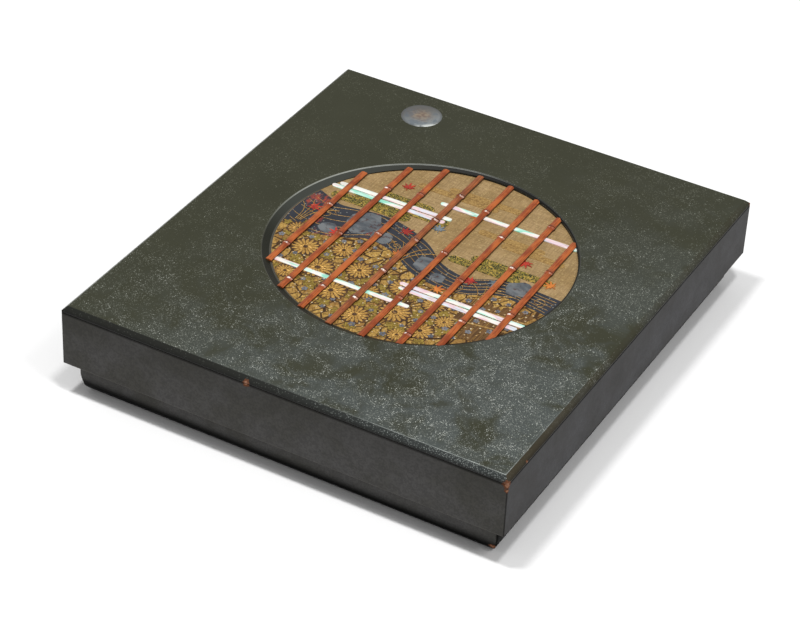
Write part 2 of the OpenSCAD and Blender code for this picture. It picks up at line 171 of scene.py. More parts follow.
class Finish(Tree):
    """A material in the making. Each call adds nodes and gives the value that they work out."""

    def __init__(self, name, rough=0.5, metal=0, coat=0, specular=0.5, sheen=0):
        self.mat = bpy.data.materials.new(name)
        self.mat.use_nodes = True
        self.tree = self.mat.node_tree
        self.shader = self.tree.nodes["Principled BSDF"].inputs
        for socket, level in (("Roughness", rough), ("Metallic", metal), ("Coat Weight", coat),
                              ("Specular IOR Level", specular), ("Sheen Weight", sheen)):
            self.shader[socket].default_value = level
        coords = self.node("ShaderNodeTexCoord").outputs
        self.where = coords["Object"]       # metres, as the textures take it
        in_mm = self.node("ShaderNodeVectorMath", {0: self.where, "Scale": 1 / MM}, operation="SCALE")
        self.x, self.y, self.z = self.axes(in_mm.outputs[0])
        self.nx, self.ny, self.nz = self.axes(coords["Normal"])

    def axes(self, vector):
        return [Value(self, part) for part in self.node("ShaderNodeSeparateXYZ", {0: vector}).outputs]

    def math(self, operation, a, b=0):
        return Value(self, self.node("ShaderNodeMath", {0: a, 1: b}, operation=operation).outputs[0])

    def texture(self, kind, size, seed, stretch=(1, 1, 1), turn=0, feeds=None, **settings):
        """A texture with features about size across, on coordinates moved, turned about Z and stretched."""
        where = self.where
        shift = (seed * 1.31, seed * 0.77, seed * 0.53)
        for change, value in (("Location", shift), ("Rotation", (0, 0, turn)), ("Scale", stretch)):
            where = self.node("ShaderNodeMapping", {"Vector": where, change: value}).outputs[0]
        feeds = {"Scale": 1 / (size * MM), "Vector": where, **(feeds or {})}
        return self.node("ShaderNodeTex" + kind, feeds, **settings).outputs

    def noise(self, size, detail=2, rough=0.5, seed=0, stretch=(1, 1, 1), warp=0, turn=0):
        """Soft noise whose patches are about size across."""
        feeds = {"Detail": detail, "Roughness": rough, "Distortion": warp}
        return Value(self, self.texture("Noise", size, seed, stretch, turn, feeds)["Fac"])

    def cells(self, size, seed):
        """Cells about size across: the distance from their middles, and two random values for each cell."""
        made = self.texture("Voronoi", size, seed)
        chance, second, _ = self.axes(made["Color"])
        return Value(self, made["Distance"]), chance, second

    def seams(self, size, seed, stretch, turn):
        """The distance to the nearest border between cells about size across."""
        made = self.texture("Voronoi", size, seed, stretch, turn, feature="DISTANCE_TO_EDGE")
        return Value(self, made["Distance"])

    def powder(self, size, share, seed):
        """Specks of unlike brightness, in the share (0 to 1) of the cells that chance picks."""
        distance, chance, second = self.cells(size, seed)
        picked = self.math("SUBTRACT", share, chance).rise(0, 0.06)
        return distance.rise(0.44, 0.2) * picked * second.spread(0.35, 1)

    def mix(self, share, a, b):
        """From colour a to colour b. Three numbers are a screen colour, four a linear one."""
        made = self.node("ShaderNodeMix", {0: share, 6: tint(a), 7: tint(b)}, data_type="RGBA")
        return Value(self, made.outputs[2])

    def lay(self, share, colour):
        """Lays a colour over what the finish has so far, where and as thickly as the share says."""
        self.colour = self.mix(share, self.colour, colour)

    def ramp(self, value, stops):
        """Colour along a list of (place, colour) stops."""
        made = self.node("ShaderNodeValToRGB", {0: value})
        steps = made.color_ramp.elements
        while len(steps) < len(stops):
            steps.new(0.5)
        for step, (place, colour) in zip(steps, stops):
            step.position, step.color = place, tint(colour)
        return Value(self, made.outputs["Color"])

    def distance(self, point, flat=False):
        """The distance from a point, or from the upright line through it where flat."""
        where = self.node("ShaderNodeCombineXYZ", {0: self.x, 1: self.y, 2: point[2] if flat else self.z})
        made = self.node("ShaderNodeVectorMath", {0: where.outputs[0], 1: point}, operation="DISTANCE")
        return Value(self, made.outputs["Value"])

    def near(self, point, radius):
        """1 at a point, 0 past the radius, with a ragged edge."""
        ragged = (self.noise(0.9) - 0.5) * (radius * 1.4)
        return (self.distance(point) + ragged).rise(radius, radius * 0.7)

    def bump(self, height, depth):
        """Relief: a height of 0 to 1 raised by the depth. Calls add up."""
        made = self.node("ShaderNodeBump", {"Strength": 1, "Distance": depth * MM, "Height": height})
        for link in self.shader["Normal"].links:
            self.feed(made.inputs["Normal"], link.from_socket)
        self.feed(self.shader["Normal"], made.outputs[0])

    def done(self, rough=None, metal=None):
        """The finished material, with any roughness or metal that varies over the surface."""
        for socket, value in (("Base Color", self.colour), ("Roughness", rough), ("Metallic", metal)):
            if value is not None:
                self.feed(self.shader[socket], value)
        return self.mat


def paint(node, material):
    slots = NODES[node].data.materials
    slots.clear()
    slots.append(material)


# -------------------- finishes: lacquer

WEAR, WEAR_DEEP, WEAR_BARE = (122, 76, 50), (70, 40, 27), (158, 116, 92)

# Rubbed spots: place and radius
LID_SPOTS = [
    ((HALF_W - 0.4, -HALF_D + 0.4, SEAM_Z - 0.3), 2.3),
    ((HALF_W - 0.2, -HALF_D + 0.2, SEAM_Z - 3.2), 1.3),
    ((-15, -HALF_D + 0.3, SEAM_Z + 0.2), 2),
    ((HALF_W - 0.2, -HALF_D + 17, SEAM_Z + 0.6), 0.8),
    ((-HALF_W + 0.4, HALF_D - 0.4, SEAM_Z), 1.6),
    ((HALF_W - 0.4, HALF_D - 0.4, SEAM_Z), 1.4),
]
BASE_SPOTS = [((BASE_HIGH.x - 2.5, BASE_LOW.y + 0.6, 3.4), 2)]


def worn(f, spots):
    """Spots where the lacquer is rubbed down to its red-brown undercoat."""
    for point, radius in spots:
        bare = f.mix(f.noise(0.7, seed=5), WEAR_DEEP, WEAR)
        f.lay(f.near(point, radius), bare)
        f.lay(f.near(point, radius * 0.5) * 0.7, WEAR_BARE)


def gold_dust(f, ground, share):
    """Ground lacquer with gold powder sprinkled under the clear coat, more of it in some places."""
    drift = f.noise(26, 3, 0.6, seed=3).rise(0.35, 0.65)
    dust = f.powder(0.55, drift.spread(share * 0.5, share), 5)
    return f.mix(dust, ground, f.mix(f.noise(0.6, 1), (140, 100, 48), (196, 152, 84))), dust


def dusted_brown(f):
    """The finish of the inner faces of the lid and the base."""
    return gold_dust(f, (34, 24, 18), 0.7)[0]


def top_lacquer():
    """Olive-black lacquer with drifting silver haze and clusters of very fine silver powder."""
    f = Finish("top_lacquer", specular=0.2)
    f.colour = f.mix(f.noise(30, 3, seed=2), (49, 50, 35), (60, 61, 46))
    forward = (f.x * 0.8 - f.y).rise(-120, 190)

    drift = f.noise(60, 3, 0.55, seed=4, warp=0.5) * 0.5 + f.noise(17, 4, 0.62, seed=7, warp=0.7) * 0.5
    thin_at_left = f.x.rise(-100, -30).spread(0.35, 1)
    haze = (drift + forward * 0.08).rise(0.46, 0.63) * forward.spread(0.2, 1) * thin_at_left
    f.lay(haze * 0.85, f.mix(forward, (62, 64, 55), (76, 82, 81)))

    patch = f.noise(14, 4, 0.68, seed=11, warp=0.9) * 0.55 + drift * 0.45
    cluster = (patch + forward * 0.05).rise(0.43, 0.59) * forward.spread(0.45, 1)
    streak = f.noise(4.5, 3, 0.6, seed=21, warp=0.8).rise(0.4, 0.6)
    from_window = f.distance(RIM_AT, flat=True)
    outside = from_window.rise(RIM_R - 0.4, RIM_R + 0.3)
    fine = f.powder(0.5, cluster.spread(0.05, 0.85), 13) * outside
    bright = f.powder(0.62, (cluster * cluster * streak).spread(0.01, 0.75), 15) * outside
    f.lay(fine, f.mix(forward, (114, 115, 99), (142, 146, 138)))
    f.lay(bright, f.mix(forward, (142, 144, 130), (208, 212, 204)))

    # the window's wall and rim and the edge bevels carry painted light and shade
    f.colour = f.mix(outside, window_wall(f), f.colour)
    window_rim(f, from_window)
    edge_bevels(f)
    worn(f, LID_SPOTS)
    underside = f.nz.rise(-0.3, -0.6) * f.z.rise(SEAM_Z - 1, SEAM_Z - 2)
    f.lay(underside, dusted_brown(f))

    f.bump(f.noise(1.2, 3, seed=19), 0.012)
    f.bump(f.noise(14, seed=23), 0.05)
    f.bump(bright, 0.015)
    return f.done(rough=f.noise(18, 3, seed=29) * 0.16 + haze * 0.08 - bright * 0.08 + 0.3)


def window_wall(f):
    """The sloping wall round the window, darker than the top as painted shade; grey on the left as painted
    light, olive in front of that, near black at the back as painted shade, with a thin painted highlight
    along its foot.
    """
    # painted shade: the wall is darker than the lid's top
    wall = f.mix(f.noise(16, 3, seed=25), (27, 28, 20), (35, 36, 27))
    # painted light: the wall is grey on the left
    left = f.x.rise(-20, -66) * f.y.rise(-30, 10)
    wall = f.mix(left * 0.75, wall, (68, 71, 66))
    # painted shade: the wall is near black at the back
    back = f.y.rise(8, 50) * f.x.rise(-45, 0)
    wall = f.mix(back * 0.95, wall, (10, 9, 7))
    # painted highlight: a thin pale line along the foot of the wall
    foot = f.z.rise(PANEL_Z + 0.3, PANEL_Z + 0.18)
    return f.mix(foot * 0.6, wall, (92, 90, 82))


def window_rim(f, from_window):
    """The upper edge of the window: a thin pale painted highlight at the back left, broken up by noise, and
    painted shade at the back.
    """
    rim = from_window.rise(RIM_R - 0.25, RIM_R - 0.1) * from_window.rise(RIM_R + 0.4, RIM_R + 0.2)
    # painted shade: the rim is darker at the back
    f.lay(rim * f.y.rise(0, 40) * 0.7, (30, 31, 27))
    # painted highlight: a thin pale line along the rim at the back left, broken up by noise
    back_left = (f.y - f.x).rise(40, 105) * f.x.rise(30, -10)
    rubbed = rim * f.noise(5, 3, seed=27).spread(0.6, 1) * back_left.spread(0.08, 0.9)
    f.lay(rubbed, (196, 200, 192))


def edge_bevels(f):
    """The bevels along the lid's top edge: dusted in front, rubbed brown near the front corner, painted shade
    along their lower edge and on the front bevel's left part, and a painted highlight along the top edge
    towards the front.
    """
    low = f.z.rise(LID_TOP - 0.9, SEAM_Z + 0.1)
    nearer = f.y.rise(0, -100)
    brown = f.mix(f.noise(9, 3, seed=31, stretch=(1, 0.3, 1)), (46, 42, 30), (66, 58, 42))
    right = f.nx.rise(0.35, 0.7)
    f.lay(right * nearer.spread(0.25, 0.95), brown)
    # painted shade: the lower edge of the right bevel is darkened
    f.lay(right * low * nearer.spread(0.6, 0.9), (24, 21, 15))

    silvery = f.x.rise(-40, 95)
    dust = f.powder(0.55, silvery.spread(0.15, 0.85), 33)
    # painted shade: the front bevel is darker than the top, most towards the left
    face = f.mix(silvery, (34, 35, 31), (52, 56, 55))
    face = f.mix(dust, face, f.mix(silvery, (88, 90, 84), (164, 170, 166)))
    # painted shade: the lower edge of the front bevel is near black
    face = f.mix(low, face, (20, 20, 18))
    f.lay(f.ny.rise(-0.35, -0.7), face)

    # painted highlight: a pale line along the top edge towards the front corner, broken up by noise
    arris = f.z.rise(LID_TOP - 0.9, LID_TOP - 0.3) * f.nz.rise(0.86, 0.9) * f.nz.rise(0.995, 0.97)
    rubbed = (f.x - f.y).rise(120, 240) * f.noise(7, 3, seed=35).rise(0.36, 0.6).spread(0.4, 1)
    f.lay(arris * rubbed * f.ny.rise(-0.02, -0.2).spread(0.5, 1), (176, 182, 178))


def side_lacquer(name, foot_z, high, wall, spots):
    """Satin lacquer outside and gold dust inside, for the four sides of the lid or the base; painted light on
    the front faces, a painted shadow under the seam, a painted highlight along the front's lower edge, and
    painted shade low on the base and on its right face.
    """
    f = Finish(name, specular=0.03)
    in_front = f.ny.rise(-0.2, -0.7)
    clouds = f.noise(24, 4, 0.6, seed=31).rise(0.35, 0.65)
    f.colour = f.mix(clouds, (66, 65, 65), (76, 76, 78))
    # painted light: the front faces are lighter than the others
    f.lay(in_front, f.mix(clouds, (75, 74, 70), (85, 84, 83)))
    near_seam = f.z.rise(SEAM_Z - 18, SEAM_Z)
    f.lay(near_seam * 0.3, (52, 51, 48))
    orange_peel = f.noise(0.9, 2, 0.6, seed=37) * 0.6 + f.noise(2.4, 3, 0.6, seed=39) * 0.4
    f.lay(orange_peel.rise(0.4, 0.6) * 0.4, (54, 53, 52))
    # painted shadow: a dark band just under the seam
    painted_seam_shadow = f.z.rise(SEAM_Z - 1.3, SEAM_Z - 0.5)
    f.lay(painted_seam_shadow * 0.65, (16, 15, 13))
    # painted highlight: a pale line along the lower edge of the front faces
    painted_edge_highlight = f.z.rise(foot_z + 0.9, foot_z + 0.3) * in_front
    f.lay(painted_edge_highlight * 0.35, (112, 104, 94))
    aside, along = abs(f.x), abs(f.y)
    corner = aside.rise(high.x - 0.7, high.x - 0.2) * along.rise(high.y - 0.7, high.y - 0.2)
    f.lay(corner * 0.8, (18, 18, 18))
    if foot_z < 1:
        # painted shade: the base is near black low down and on its right face
        foot = f.z.rise(FOOT_H + 0.5, FOOT_H - 6.5)
        f.lay(foot | f.nx.rise(0.2, 0.7), (9, 9, 8))
    inner_x, inner_y = high.x - wall, high.y - wall
    inside = aside.rise(inner_x, inner_x - 0.3) * along.rise(inner_y, inner_y - 0.3) * f.z.rise(2, 3)
    f.lay(inside, dusted_brown(f))
    worn(f, spots)
    f.bump(orange_peel, 0.03)
    f.bump(f.noise(22, seed=47), 0.06)
    return f.done(rough=f.noise(12, 3, seed=53).spread(0.36, 0.52))


def inner_lacquer():
    """Black-brown lacquer with sparse gold dust, for the fitted board, the tray and its rests."""
    f = Finish("inner_lacquer", coat=0.2)
    f.colour, dust = gold_dust(f, f.mix(f.noise(15, 3, seed=59), (30, 22, 17), (42, 30, 22)), 0.5)
    f.bump(f.noise(8, seed=61), 0.03)
    return f.done(rough=f.noise(6, 3, seed=67).spread(0.22, 0.38), metal=dust * 0.7)


# -------------------- finishes: lattice and disc

def joint_places(node, rise):
    """Places of the joints along a bar, in Y, found from the rings that stand above its crown."""
    groups = []
    for y in sorted(v.co.y / MM for v in NODES[node].data.vertices if v.co.z / MM > rise):
        if not groups or y - groups[-1][-1] > 2:
            groups.append([])
        groups[-1].append(y)
    return [sum(group) / len(group) for group in groups]


def bamboo(name, node, seed, light, dark, joint_dark):
    """Lacquered cane: fine grain along the bar, a dark groove at each joint with a painted highlight on the
    ridge beside it, and painted shade on its foot and right flank.
    """
    f = Finish(name, specular=0.35)
    fibre = f.noise(0.5, 3, 0.6, seed=seed, stretch=(1, 0.04, 1))
    blotch = f.noise(7, 3, 0.6, seed=seed + 3, stretch=(1, 0.6, 1))
    f.colour = f.mix((fibre * 0.45 + blotch * 0.55).rise(0.4, 0.6), dark, light)
    f.lay(f.noise(1.1, seed=seed + 5, stretch=(1, 0.3, 1)).rise(0.64, 0.74), dark)
    rubbed = f.noise(1.5, seed=seed + 9).rise(0.42, 0.6)
    low, high = box(node)
    crown = abs(f.x - ((low.x + high.x) / 2 - 0.3)).rise(1, 0.5)
    for place in joint_places(node, BAR_CROWN + 0.2):
        along = f.y - (place + JOINT_GROOVE)
        collar = along.rise(-5, -1.2) * along.rise(3.5, 0.5)
        f.lay(collar * 0.55, dark)
        # painted highlight: a pale pink ridge beside each joint's groove, broken up by noise
        ridge = along.rise(-1.3, -0.9) * along.rise(-0.1, -0.5) * rubbed
        f.lay(ridge * 0.35, (232, 176, 150))
        f.lay(abs(along).rise(0.3, 0.1), joint_dark)
        # painted highlight: a white dot on the ridge near the bar's middle
        f.lay(ridge * crown, (252, 244, 236))
    # painted shade: the bar's foot and its right flank are darkened to the joint colour
    foot = f.z.rise(PANEL_Z + 1, PANEL_Z + 0.3)
    shaded_flank = f.nx.rise(0.45, 0.8)
    f.lay((foot | shaded_flank) * 0.9, joint_dark)
    f.bump(fibre, 0.03)
    return f.done(rough=f.noise(3, seed=seed + 7).spread(0.2, 0.34))


def pearl(name, seed):
    """Shell: long patches of white, mint and pink along the strip, with fine growth lines."""
    f = Finish(name, coat=0.3)
    bands = f.noise(15, seed=seed, stretch=(1, 3, 1), warp=0.6)
    f.colour = f.ramp(bands, [(0.34, (150, 226, 200)), (0.42, (206, 244, 228)), (0.48, (248, 248, 240)),
                              (0.54, (248, 236, 228)), (0.6, (238, 200, 208)), (0.68, (226, 232, 240))])
    lines = f.noise(0.5, 2, 0.6, seed=seed + 1, stretch=(0.05, 1, 1))
    f.lay(lines.rise(0.56, 0.66) * 0.55, (140, 158, 152))
    f.bump(lines, 0.02)
    return f.done(rough=lines.spread(0.14, 0.34))


def tarnished_silver():
    """Silver gone grey, with a tan bloom in the middle; painted shade makes it darker towards the back and a
    painted highlight lights its front edge.
    """
    f = Finish("tarnished_silver", metal=0.5)
    radius = (DISC_HIGH.x - DISC_LOW.x) / 2
    middle = (DISC_LOW + DISC_HIGH) / 2
    away = f.distance((middle.x, middle.y, DISC_HIGH.z))
    forward = (f.x - middle.x - (f.y - middle.y)) * 0.707
    # painted light and shade: darker towards the back, lighter towards the front
    f.colour = f.mix(forward.rise(-radius * 0.7, radius * 0.8), (112, 111, 108), (150, 156, 158))
    f.lay(f.noise(5, 3, 0.6, seed=83).rise(0.46, 0.62) * 0.6, (108, 118, 128))
    wobble = (f.noise(3, 4, 0.7, seed=73) - 0.5) * 9
    bloom = (away + wobble).rise(radius * 0.75, radius * 0.1)
    stain = f.mix(f.noise(1.6, 3, seed=79).rise(0.4, 0.6), (140, 116, 98), (168, 148, 124))
    f.lay(bloom * 0.8, stain)
    f.lay(away.rise(radius * 0.84, radius * 0.99) * 0.6, (96, 98, 98))
    # painted highlight: the front edge is lit near white
    bright = forward.rise(radius * 0.72, radius * 0.96) * f.noise(4, seed=85).rise(0.3, 0.5)
    f.lay(bright, (236, 240, 236))
    f.bump(f.noise(1.2, 3, seed=89, warp=0.5), 0.02)
    return f.done(rough=f.noise(3, seed=97).spread(0.34, 0.55))


# -------------------- finishes: inlaid panel

def woven_ground():
    """Golden-tan ground with the fine warp and weft of cloth under the lacquer."""
    f = Finish("woven_ground", specular=0.3)
    tan = f.mix(f.noise(18, 3, 0.6, seed=301).rise(0.35, 0.65), (154, 126, 82), (170, 142, 100))
    warp = f.noise(0.8, 1, seed=303, stretch=(1, 0.12, 1))
    weft = f.noise(0.8, 1, seed=307, stretch=(0.12, 1, 1))
    cloth = warp * 0.5 + weft * 0.5
    f.colour = f.mix(cloth.rise(0.4, 0.58), f.mix(0.4, tan, (112, 90, 54)), tan)
    flecks = f.noise(0.8, 0, seed=311).rise(0.68, 0.76)
    f.lay(flecks * 0.6, (196, 172, 118))
    f.bump(cloth, 0.06)
    return f.done(rough=cloth.spread(0.34, 0.56))


def dark_water():
    """Blue-black lacquer, brushed with a little red, with a few pale specks."""
    f = Finish("dark_water", specular=0.3)
    f.colour = f.mix(f.noise(10, 4, 0.6, seed=313), (32, 35, 42), (58, 61, 70))
    brushed = f.noise(7, 4, 0.65, seed=317, stretch=(1, 0.4, 1)).rise(0.54, 0.66) * f.x.rise(-10, -34)
    f.lay(brushed * 0.85, (176, 72, 48))
    distance, chance, _ = f.cells(1.1, seed=5)
    speck = distance.rise(0.4, 0.28) * chance.rise(0.16, 0.15)
    f.lay(speck * 0.7, (150, 150, 140))
    f.bump(f.noise(2.5, 3, seed=331, stretch=(1, 0.4, 1)), 0.06)
    return f.done(rough=f.noise(4, seed=337).spread(0.25, 0.5))


def raised_gold(name, seed, light, dark, relief):
    """Gold built up in relief, rubbed bright on top and brown in the hollows, with fine incised lines."""
    f = Finish(name, metal=0.35, specular=0.4)
    grain = f.noise(0.9, 4, 0.65, seed=seed)
    f.colour = f.mix(grain.rise(0.36, 0.62), dark, light)
    worn_patch = f.noise(5, 3, 0.6, seed=seed + 3).rise(0.52, 0.66)
    f.lay(worn_patch * 0.45, dark)
    lines = f.noise(0.6, 1, seed=seed + 5, stretch=(1, 0.2, 1), turn=0.7, warp=0.6)
    f.lay(lines.rise(0.56, 0.66) * 0.5, (92, 58, 26))
    f.bump(grain, relief)
    return f.done(rough=grain.spread(0.28, 0.5))


def speckled_gold():
    """Dense olive and yellow gold specks on black, for the bands of mist."""
    f = Finish("speckled_gold", specular=0.35)
    speck = f.noise(0.55, 1, seed=351)
    gold = f.mix(f.noise(1.6, seed=353).rise(0.4, 0.6), (124, 114, 44), (178, 150, 66))
    f.colour = f.mix(speck.rise(0.42, 0.54), (48, 46, 24), gold)
    f.bump(speck, 0.04)
    return f.done(rough=speck.spread(0.3, 0.5))


def grey_silver():
    """Oxidised silver leaf: blue-grey, brushed, with dark red-brown stains."""
    f = Finish("grey_silver", rough=0.4, metal=0.3, specular=0.4)
    brushed = f.noise(6, 4, 0.6, seed=359, stretch=(0.5, 1, 1)).rise(0.36, 0.64)
    stain = f.noise(2.4, 4, 0.7, seed=367).rise(0.54, 0.66)
    f.colour = f.mix(brushed, (84, 90, 96), (126, 130, 132))
    f.lay(stain * 0.8, (78, 52, 50))
    f.bump(f.noise(1.2, 3, seed=373, stretch=(0.3, 1, 1)), 0.04)
    return f.done()


def carved_bank():
    """Gold ground of the bank, cut into overlapping shapes by dark lines."""
    f = Finish("carved_bank", metal=0.25, specular=0.35)
    grain = f.noise(1.2, 4, 0.65, seed=421)
    f.colour = f.mix(grain.rise(0.36, 0.62), (156, 120, 54), (210, 170, 92))
    warm = f.noise(9, 3, 0.6, seed=423).rise(0.42, 0.62)
    f.lay(warm * 0.6, (132, 88, 44))
    edge = f.seams(4.2, seed=11, stretch=(1, 0.55, 1), turn=0.6)
    f.lay(edge.rise(0.075, 0.035), (70, 46, 22))
    hatch = f.noise(0.6, 1, seed=427, stretch=(1, 0.16, 1), turn=-0.5, warp=0.5)
    f.lay(hatch.rise(0.56, 0.64) * 0.55, (86, 60, 26))
    f.bump(edge.rise(0.02, 0.14), 0.12)
    f.bump(grain, 0.06)
    return f.done(rough=grain.spread(0.3, 0.52))


def brown_boards():
    """Brown lacquered boards with long fine grain."""
    f = Finish("brown_boards", specular=0.3)
    grain = f.noise(0.9, 3, 0.6, seed=379, stretch=(1, 0.12, 1))
    f.colour = f.mix(grain.rise(0.36, 0.62), (84, 58, 28), (116, 84, 46))
    f.bump(grain, 0.03)
    return f.done(rough=grain.spread(0.32, 0.5))


def leaf_paint(name, seed, light, dark):
    """Painted leaf: colour that varies from leaf to leaf, thin at the points."""
    f = Finish(name, rough=0.4, specular=0.4)
    f.colour = f.mix(f.noise(4, 4, 0.65, seed=seed).rise(0.38, 0.62), dark, light)
    rubbed = f.noise(1.1, 3, seed=seed + 3).rise(0.6, 0.7)
    f.lay(rubbed * 0.55, (196, 150, 92))
    f.bump(f.noise(0.8, 3, seed=seed + 7), 0.03)
    return f.done()


# -------------------- finishes: writing set

def slate():
    """Close-grained black slate, smoother and inky in the grinding field."""
    f = Finish("slate")
    f.colour = f.mix(f.noise(6, 5, 0.65, seed=101), (46, 46, 50), (66, 66, 70))
    bedding = f.noise(2, 4, 0.6, seed=103, stretch=(1, 0.15, 3))
    f.lay(bedding.rise(0.5, 0.66) * 0.5, (84, 84, 86))
    specks = f.noise(0.7, 1, seed=107).rise(0.7, 0.78)
    f.lay(specks * 0.5, (120, 120, 118))
    low, high = box("inkstone")
    inked = f.z.rise(high.z - 0.8, high.z - 1.4)
    for here, start, end in ((f.x, low.x, high.x), (f.y, low.y, high.y)):
        reach = (end - start) / 2 - STONE_EDGE
        inked = inked * abs(here - (start + end) / 2).rise(reach + 3, reach)
    f.lay(inked * 0.7, (24, 24, 26))
    f.bump(f.noise(0.8, 4, 0.65, seed=109), 0.05)
    f.bump(bedding, 0.08)
    return f.done(rough=f.noise(5) * 0.2 - inked * 0.18 + specks * 0.12 + 0.432)


def bronze():
    """Brown cast bronze, rubbed bright on the edges of the boss, with a little green in the hollows."""
    f = Finish("bronze", metal=0.85)
    f.colour = f.mix(f.noise(9, 4, 0.6, seed=113), (92, 66, 42), (138, 100, 60))
    green = f.noise(5, 4, 0.7, seed=127).rise(0.58, 0.72)
    f.lay(green * 0.55, (84, 98, 74))
    top = box("water_dropper")[1].z
    rubbed = f.z.rise(top - 1.4, top - 0.2)
    f.lay(rubbed * 0.7, (190, 146, 88))
    f.bump(f.noise(1.4, 4, 0.6, seed=131), 0.05)
    return f.done(rough=f.noise(4, 3, seed=137).spread(0.3, 0.6))


def pressed_ink():
    """Matt black ink with a gilt band near each end."""
    f = Finish("pressed_ink")
    low, high = box("ink_stick")
    half = (high.y - low.y) / 2
    from_end = abs(f.y - (low.y + high.y) / 2) - half
    rubbed = f.noise(1.6, 3, seed=151).rise(0.36, 0.46)
    band = from_end.rise(-9, -8.8) * from_end.rise(-5, -5.2) * rubbed
    f.colour = f.mix(f.noise(3, 3, seed=139), (20, 20, 22), (36, 35, 36))
    f.lay(band, f.mix(f.noise(1.2, 3, seed=149), (150, 112, 50), (214, 172, 92)))
    f.bump(f.noise(1, 3, seed=157), 0.03)
    return f.done(rough=f.noise(4) * 0.2 - band * 0.1 + f.noise(9, 1) * 0.6, metal=band * 0.8)


def plain_bamboo():
    """Cane handle: pale yellow-brown with fine fibre and brown mottling."""
    f = Finish("plain_bamboo", coat=0.1)
    fibre = f.noise(0.6, 3, 0.6, seed=163, stretch=(1, 0.03, 1))
    f.colour = f.mix(fibre.rise(0.38, 0.62), (150, 112, 62), (190, 152, 96))
    spots = f.noise(6, 4, 0.7, seed=167, stretch=(1, 0.5, 1)).rise(0.55, 0.68)
    f.lay(spots * 0.6, (104, 66, 34))
    f.bump(fibre, 0.02)
    return f.done(rough=fibre.spread(0.3, 0.46))


def brush_hair():
    """Fine pale hair, darker towards the point where ink has stayed."""
    f = Finish("brush_hair", rough=0.55, sheen=0.2)
    hair = f.noise(0.35, 2, 0.6, seed=173, stretch=(1, 0.03, 1))
    low, high = box("brush_1_tip")
    f.colour = f.mix(hair.rise(0.36, 0.64), (150, 126, 92), (222, 204, 168))
    inked = (hair * 8 + f.y).rise(low.y + 12, high.y)
    f.lay(inked * 0.8, (60, 54, 48))
    f.bump(hair, 0.08)
    return f.done()


# -------------------- studio

FLOOR_REACH = 4.0            # metres
# Lamps: name, place and size in metres, power in watts
LAMPS = [("left_lamp", (-0.5, -0.42, 3.0), (0.25, 0.4), 33),
         ("right_lamp", (0.6, -0.42, 3.0), (0.25, 0.4), 26),
         ("far_right_lamp", (1.7, -0.5, 2.3), (0.6, 0.8), 15)]
WHITE = (1, 1, 1, 1)
WORLD_LEVEL = 0.4


def make_floor():
    """Wide white floor, seen by the camera a little lighter than it shines on the box."""
    mesh = bpy.data.meshes.new("studio_floor")
    corners = [(FLOOR_REACH * x, FLOOR_REACH * y, 0) for x, y in ((-1, -1), (1, -1), (1, 1), (-1, 1))]
    mesh.from_pydata(corners, [], [(0, 1, 2, 3)])
    f = Finish("floor_white", rough=0.9, specular=0)
    rays = f.node("ShaderNodeLightPath").outputs
    seen = f.math("MAXIMUM", rays["Is Camera Ray"], rays["Is Glossy Ray"]) | rays["Is Transmission Ray"]
    f.colour = f.mix(f.noise(400), (0.80, 0.80, 0.80, 1), (0.82, 0.82, 0.82, 1))
    f.lay(seen, WHITE)
    mesh.materials.append(f.done())
    in_scene("studio_floor", mesh)


def make_lamp(name, at, size, power):
    """A soft lamp that shines on the middle of the box."""
    data = bpy.data.lights.new(name, "AREA")
    data.shape = "RECTANGLE"
    data.size, data.size_y = size
    data.energy = power
    lamp = in_scene(name, data)
    lamp.location = at
    lamp.rotation_euler = (-Vector(at)).to_track_quat("-Z", "Y").to_euler()


def make_studio():
    make_floor()
    for lamp in LAMPS:
        make_lamp(*lamp)
    world = bpy.data.worlds.new("studio")
    world.use_nodes = True
    background = world.node_tree.nodes["Background"].inputs
    background["Color"].default_value = WHITE
    background["Strength"].default_value = WORLD_LEVEL
    bpy.context.scene.world = world
    bpy.context.scene.view_settings.view_transform = "Standard"


make_camera()
make_studio()

# -------------------- finishes of the carried-over nodes

# Light, dark and joint colours of the bars; the joint colour is also the painted shade on each bar's foot and
# right flank
RED_CANE = ((186, 100, 48), (136, 60, 27), (40, 17, 9))
TWIG = ((170, 98, 54), (122, 64, 34), (48, 24, 14))
TWIG_BAR = 4


def paint_nodes():
    paint("lid_top", top_lacquer())
    lid_side = side_lacquer("side_lacquer", SKIRT_LOW, LID_HIGH, LID_WALL, LID_SPOTS)
    base_side = side_lacquer("base_lacquer", BASE_LOW.z, BASE_HIGH, BASE_WALL, BASE_SPOTS)
    for side in ("front", "back", "left", "right"):
        paint("lid_" + side, lid_side)
        paint("base_" + side, base_side)
    paint("base_floor", base_side)
    paint("moon_disc", tarnished_silver())
    for i in range(1, 9):
        bar = f"bamboo_bar_{i}"
        name, colours = ("brown_twig", TWIG) if i == TWIG_BAR else (f"red_bamboo_{i}", RED_CANE)
        paint(bar, bamboo(name, bar, 20 * i, *colours))
    for i in range(1, 7):
        paint(f"shell_strip_{i}", pearl(f"pearl_shell_{i}", 200 + 10 * i))
    inside = inner_lacquer()
    for node in ("inner_board", "brush_tray", "brush_rest_front", "brush_rest_back"):
        paint(node, inside)
    paint("inkstone", slate())
    paint("water_dropper", bronze())
    paint("ink_stick", pressed_ink())
    cane, hair = plain_bamboo(), brush_hair()
    for i in (1, 2):
        paint(f"brush_{i}_handle", cane)
        paint(f"brush_{i}_tip", hair)


paint_nodes()

# -------------------- inlaid panel: outlines

def in_window(x, y, margin=0):
    return math.hypot(x - WINDOW_X, y - WINDOW_Y) < WINDOW_R - margin


